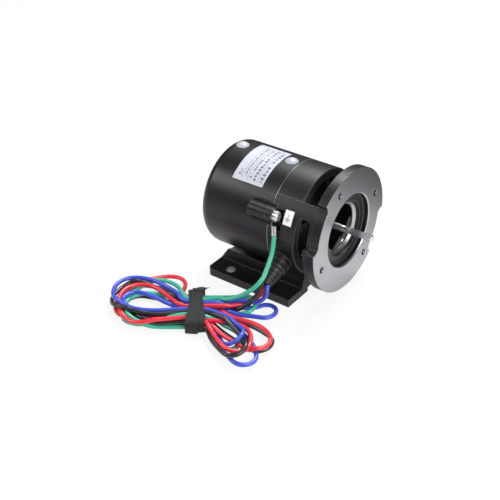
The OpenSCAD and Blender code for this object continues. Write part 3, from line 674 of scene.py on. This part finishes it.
def painted_steel():
    """Painted deep-drawn steel: the same satin black, smoother than on the casting, with the same
    painted highlight on its edges.
    """
    material, tree, shader, mm = start("satin_black_painted_steel")
    colour, patches = black_paint(tree, mm, size=18.0, edge=0.9, highlight_share=0.6)
    rough = add(tree, "MapRange", {"Value": patches, "To Min": 0.33, "To Max": 0.42})
    # Orange peel of the paint, 0.7 mm
    peel = add(tree, "TexNoise", {"Vector": mm, "Scale": 1 / 0.7})
    feed(tree, shader, {"Base Color": colour, "Roughness": rough, "Specular IOR Level": 0.4,
                        "Normal": relief(tree, peel, strength=0.35, depth=0.03, edge=0.6)})
    return material


def metal(name, code, rough, grain, marks=0.3, metallic=1.0):
    """A bare or plated metal: fine marks of this size with no direction, in slow patches."""
    material, tree, shader, mm = start(name)
    colour, patches = mottle(tree, mm, grain * 8, darker(code, 0.82), srgb(code))
    uneven = {"Value": patches, "To Min": rough - 0.05, "To Max": rough + 0.07}
    fine = add(tree, "TexNoise", {"Vector": mm, "Scale": 1 / grain})
    feed(tree, shader, {"Base Color": colour, "Metallic": metallic,
                        "Roughness": add(tree, "MapRange", uneven),
                        "Normal": relief(tree, fine, strength=marks, depth=0.02)})
    return material


def lamination():
    """Stamped electrical steel: thin sheets stacked along the shaft, seen as fine lines."""
    material, tree, shader, mm = start("stacked_electrical_steel")
    x = add(tree, "SeparateXYZ", {0: mm})
    line = wave(tree, x, SHEET_T)
    shade = add(tree, "MapRange", {"Value": line, "To Min": 0.3, "To Max": 0.7})
    colours = {0: shade, 6: srgb("#5b5d60"), 7: srgb("#85888c")}
    feed(tree, shader, {"Base Color": add(tree, "Mix", colours, 2, data_type="RGBA"),
                        "Metallic": 1.0, "Roughness": 0.45,
                        "Normal": relief(tree, line, strength=0.4, depth=0.05)})
    return material


def varnished_copper():
    """Enamelled copper wire under varnish, wound round the stator's slots in strands."""
    material, tree, shader, mm = start("varnished_copper_wire")
    # A wave texture has 20 radians to a unit of its scale
    turns = {"Vector": mm, "Scale": 2 * math.pi / 20 / WIRE_D, "Distortion": 1.5}
    strands = add(tree, "TexWave", turns)
    colours = {0: strands, 6: srgb("#7a3413"), 7: srgb("#b8622c")}
    feed(tree, shader, {"Base Color": add(tree, "Mix", colours, 2, data_type="RGBA"),
                        "Metallic": 0.8, "Roughness": 0.3,
                        "Normal": relief(tree, strands, strength=0.6, depth=0.2)})
    return material


def insulation(name, code):
    """Extruded soft PVC of a lead: smooth, with a faint sheen and slow dents of 2.5 mm."""
    material, tree, shader, mm = start(name)
    colour, patches = mottle(tree, mm, 9.0, darker(code, 0.86), srgb(code))
    rough = add(tree, "MapRange", {"Value": patches, "To Min": 0.30, "To Max": 0.42})
    dents = add(tree, "TexNoise", {"Vector": mm, "Scale": 1 / 2.5})
    feed(tree, shader, {"Base Color": colour, "Roughness": rough, "Coat Weight": 0.3,
                        "Coat Roughness": 0.2,
                        "Normal": relief(tree, dents, strength=0.1, depth=0.03)})
    return material


def rubber():
    """Moulded black rubber of the strain relief: matt, with a grain of 0.4 mm."""
    material, tree, shader, mm = start("moulded_black_rubber")
    colour, patches = mottle(tree, mm, 4.0, srgb("#161617"), srgb("#212123"))
    rough = add(tree, "MapRange", {"Value": patches, "To Min": 0.4, "To Max": 0.52})
    grain = add(tree, "TexNoise", {"Vector": mm, "Scale": 1 / 0.4})
    feed(tree, shader, {"Base Color": colour, "Roughness": rough,
                        "Normal": relief(tree, grain, strength=0.4, depth=0.03, edge=0.3)})
    return material


def plug_plastic():
    """Moulded white polyethylene of the hole plugs: waxy, and a little light goes in."""
    material, tree, shader, mm = start("white_moulded_plastic")
    colour, patches = mottle(tree, mm, 3.0, srgb("#a4a8b2"), srgb("#b2b6c0"))
    feed(tree, shader, {"Base Color": colour, "Roughness": 0.28, "Subsurface Weight": 0.1,
                        "Subsurface Scale": 0.001,
                        "Normal": relief(tree, patches, strength=0.1, depth=0.03)})
    return material


# Degrees to a millimetre round the label, about
LABEL_DEGREES = 1.45
# Rows of print that run round the body: middle along the shaft, width, the turns where
# the row starts and ends, and the pitch of its blocks, which is 0 for a ruled line
LABEL_ROWS = [
    (-14.6, 2.2, -40.0, -31.0, 2.2), (-11.9, 0.3, -40.5, 11.0, 0.0),
    (-9.6, 1.5, -38.0, 8.0, 2.0), (-7.2, 0.3, -40.5, 11.0, 0.0),
    (-4.9, 1.7, -38.0, 10.0, 2.2), (-1.3, 2.2, -40.0, 10.0, 2.8),
    (1.4, 0.3, -41.0, 11.0, 0.0), (4.1, 2.5, -41.0, 10.0, 3.2),
]
# The earth sign, as bars: limits along the shaft and the turns between which each lies
SIGN_X = 35.35
SIGN_BARS = [
    (SIGN_X - 0.2, SIGN_X + 0.2, -64.0, -59.6), (SIGN_X - 2.05, SIGN_X + 2.05, -64.6, -64.0),
    (SIGN_X - 1.25, SIGN_X + 1.25, -65.7, -65.1), (SIGN_X - 0.55, SIGN_X + 0.55, -66.8, -66.2),
]


def label_film():
    """Printed silver-white polyester film: ruled lines and rows of plain grey blocks."""
    material, tree, shader, mm = start("printed_label_film")
    x, _, turn = round_the_shaft(tree, mm)
    ink = 0.0
    for middle, width, first, last, pitch in LABEL_ROWS:
        row = between(tree, x, middle - width / 2, middle + width / 2)
        masks = [between(tree, turn, first, last)]
        if pitch:
            # A block fills two thirds of its pitch, and noise leaves some of it out
            step = add(tree, "Math", {0: turn, 1: pitch * LABEL_DEGREES}, operation="DIVIDE")
            step = add(tree, "Math", {0: step}, operation="FRACT")
            masks.append(between(tree, step, 0.12, 0.8))
            uneven = {"Vector": mm, "Scale": 1 / (1.1 * pitch), "Detail": 1.0}
            kept = {0: add(tree, "TexNoise", uneven), 1: 0.43}
            masks.append(add(tree, "Math", kept, operation="GREATER_THAN"))
        for mask in masks:
            row = add(tree, "Math", {0: row, 1: mask}, operation="MULTIPLY")
        ink = add(tree, "Math", {0: ink, 1: row}, operation="MAXIMUM")
    film, _ = mottle(tree, mm, 12.0, srgb("#b3b6c2"), srgb("#c1c4ce"))
    ink = add(tree, "Math", {0: ink, 1: 0.8}, operation="MULTIPLY")
    colours = {0: ink, 6: film, 7: srgb("#4b4c57")}
    feed(tree, shader, {"Base Color": add(tree, "Mix", colours, 2, data_type="RGBA"),
                        "Roughness": 0.34})
    return material


def sticker_film():
    """White vinyl film with the general earth sign: a stem and three bars."""
    material, tree, shader, mm = start("white_sticker_film")
    x, _, turn = round_the_shaft(tree, mm)
    ink = 0.0
    for x_low, x_high, first, last in SIGN_BARS:
        sides = {0: between(tree, x, x_low, x_high), 1: between(tree, turn, first, last)}
        bar = add(tree, "Math", sides, operation="MULTIPLY")
        ink = add(tree, "Math", {0: ink, 1: bar}, operation="MAXIMUM")
    film, _ = mottle(tree, mm, 6.0, srgb("#eceded"), srgb("#f7f7f6"))
    colours = {0: ink, 6: film, 7: srgb("#37383a")}
    feed(tree, shader, {"Base Color": add(tree, "Mix", colours, 2, data_type="RGBA"),
                        "Roughness": 0.4})
    return material


def woven_tape():
    """Woven black polyester tape of the tie: dull, with a cross weave and broad ribs."""
    material, tree, shader, mm = start("black_woven_tape")
    turned = add(tree, "VectorRotate", {"Vector": mm, "Angle": -TIE_TURN})
    x, y, z = add(tree, "SeparateXYZ", {0: turned}).node.outputs
    round_waist = add(tree, "Math", {0: y, 1: z}, operation="ADD")
    crossing = {0: wave(tree, x, THREAD), 1: wave(tree, round_waist, THREAD)}
    weave = add(tree, "Math", crossing, operation="MULTIPLY")
    ribs = add(tree, "Math", {0: wave(tree, x, RIB), 1: 1.6}, operation="MULTIPLY")
    weave = add(tree, "Math", {0: weave, 1: ribs}, operation="ADD")
    colour, _ = mottle(tree, mm, 2.0, srgb("#0d0d0e"), srgb("#1c1c1f"))
    feed(tree, shader, {"Base Color": colour, "Roughness": 0.85, "Sheen Weight": 0.1,
                        "Sheen Roughness": 0.5,
                        "Normal": relief(tree, weave, strength=0.6, depth=0.12)})
    return material


# Hardened bearing rings and balls, polished so that they mirror the room
BEARING = metal("polished_bearing_steel", "#bfc1c4", rough=0.15, grain=0.5)
# Screws and washers with bright zinc plate: silvery, with soft highlights
ZINC = metal("bright_zinc_plate", "#dcdee1", rough=0.27, grain=0.8, marks=0.1, metallic=0.9)
# Tinned copper of the ring terminal and the bare lead ends: duller and warmer than zinc
TIN = metal("tinned_copper", "#d8d5ce", rough=0.3, grain=0.8, marks=0.25)
# Phosphated spring steel: dark grey and dull
SPRING = metal("phosphated_spring_steel", "#6a6b6f", rough=0.4, grain=0.5)
LAMINATION = lamination()

FINISH = {
    "front_bracket": cast_paint(),
    "motor_housing": painted_steel(),
    "stator_core": LAMINATION,
    "stator_winding": varnished_copper(),
    "rotor_core": LAMINATION,
    # Aluminium cast into the rotor's slots, with a coarse skin
    "rotor_cage": metal("die_cast_aluminium", "#b9bbbe", rough=0.42, grain=0.9, marks=0.6),
    # Ground steel, nearly a mirror
    "shaft": metal("ground_shaft_steel", "#dedee1", rough=0.22, grain=3.0, marks=0.02,
                   metallic=0.9),
    "wave_washer": SPRING,
    "shaft_circlip": SPRING,
    "ground_screw": ZINC,
    "ground_washer": ZINC,
    "ground_terminal": TIN,
    "case_screw": ZINC,
    "case_washer": ZINC,
    "hole_plugs": plug_plastic(),
    "rating_label": label_film(),
    "ground_sticker": sticker_film(),
    "strain_relief": rubber(),
}
for bearing in ("front_bearing_", "rear_bearing_"):
    for part in ("outer", "inner", "balls"):
        FINISH[bearing + part] = BEARING
INSULATION = {"green": "#3cb796", "blue": "#3c52cc", "red": "#e22a3c", "black": "#222225"}


def dress(piece, material):
    """Gives the piece this one material."""
    piece.data.materials.clear()
    piece.data.materials.append(material)


for name, material in FINISH.items():
    dress(nodes[name], material)
    mesh = nodes[name].data
    mesh.polygons.foreach_set("use_smooth", [True] * len(mesh.polygons))
for colour, lead in leads.items():
    dress(lead, insulation(colour + "_insulation", INSULATION[colour]))
    dress(ends[colour], TIN)
tape = woven_tape()
for piece in tie:
    dress(piece, tape)
for piece in [*leads.values(), *ends.values(), *tie]:
    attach(piece, "motor")


# The floor, the light and the background
# For all rays but the camera's, the floor is pale up to the first of these places behind
# the shaft and dark from the second
PALE_TO = 10.0
DARK_FROM = 150.0
# It lies this far under the foot
FLOOR_DROP = 0.2


def make_floor():
    """A pale matt floor that the camera sees as nearly white where nothing shades it.
    Behind the motor it is dark for all other rays, so that the flange mirrors less of it."""
    bpy.ops.object.select_all(action="DESELECT")
    bpy.ops.mesh.primitive_plane_add(size=12, location=(0, 0, -metres(FLOOR_DROP)))
    bpy.ops.object.transform_apply(location=True, rotation=True, scale=True)
    floor = bpy.context.object
    floor.name = floor.data.name = "floor"
    material, tree, shader, mm = start("pale_floor")
    seen = add(tree, "LightPath", {}, "Is Camera Ray")
    y = add(tree, "SeparateXYZ", {0: mm}, 1)
    near = add(tree, "MapRange", {"Value": y, "From Min": DARK_FROM, "From Max": PALE_TO})
    near = add(tree, "Math", {0: near, 1: seen}, operation="MAXIMUM")
    colours = {0: near, 6: srgb("#3a3a3c"), 7: srgb("#f4f4f4")}
    feed(tree, shader, {"Base Color": add(tree, "Mix", colours, 2, data_type="RGBA"),
                        "Roughness": 0.9})
    # Its own light, as a share of white: 0.86 for the camera, and less for other rays
    room = add(tree, "MapRange", {"Value": near, "To Min": 0.02, "To Max": 0.4})
    share = add(tree, "Mix", {0: seen, 2: room, 3: 0.86}, data_type="FLOAT")
    white = add(tree, "Emission", {"Color": srgb("#ffffff"), "Strength": 1.0})
    both = add(tree, "MixShader", {0: share, 1: shader.outputs[0], 2: white})
    feed(tree, tree.nodes["Material Output"], {"Surface": both})
    dress(floor, material)


def make_light(name, place, aim, size, watts):
    """A round soft lamp at place that points at aim."""
    data = bpy.data.lights.new(name, "AREA")
    data.shape = "DISK"
    data.size = size
    data.energy = watts
    light = bpy.data.objects.new(name, data)
    light.location = place
    light.rotation_euler = (Vector(aim) - Vector(place)).to_track_quat("-Z", "Y").to_euler()
    scene.collection.objects.link(light)


def make_world():
    """The camera sees white, and everything else a soft grey room."""
    world = bpy.data.worlds.new("room")
    scene.world = world
    world.use_nodes = True
    tree = world.node_tree
    seen = add(tree, "LightPath", {}, "Is Camera Ray")
    room = add(tree, "Background", {"Color": srgb("#eaeaed"), "Strength": 0.17})
    white = add(tree, "Background", {"Color": srgb("#ffffff"), "Strength": 1.0})
    both = add(tree, "MixShader", {0: seen, 1: room, 2: white})
    feed(tree, tree.nodes["World Output"], {"Surface": both})


make_floor()
make_light("top_light", place=(-0.10, 0.42, 0.75), aim=(0, 0, 0.03), size=0.42, watts=9.5)
make_light("side_light", place=(-0.62, -0.50, 0.62), aim=(0, -0.03, 0.03), size=0.40, watts=3.4)
make_light("face_light", place=(0.62, -0.25, 0.42), aim=(0.07, 0, 0.05), size=0.55, watts=5.0)
make_world()
scene.view_settings.view_transform = "Standard"
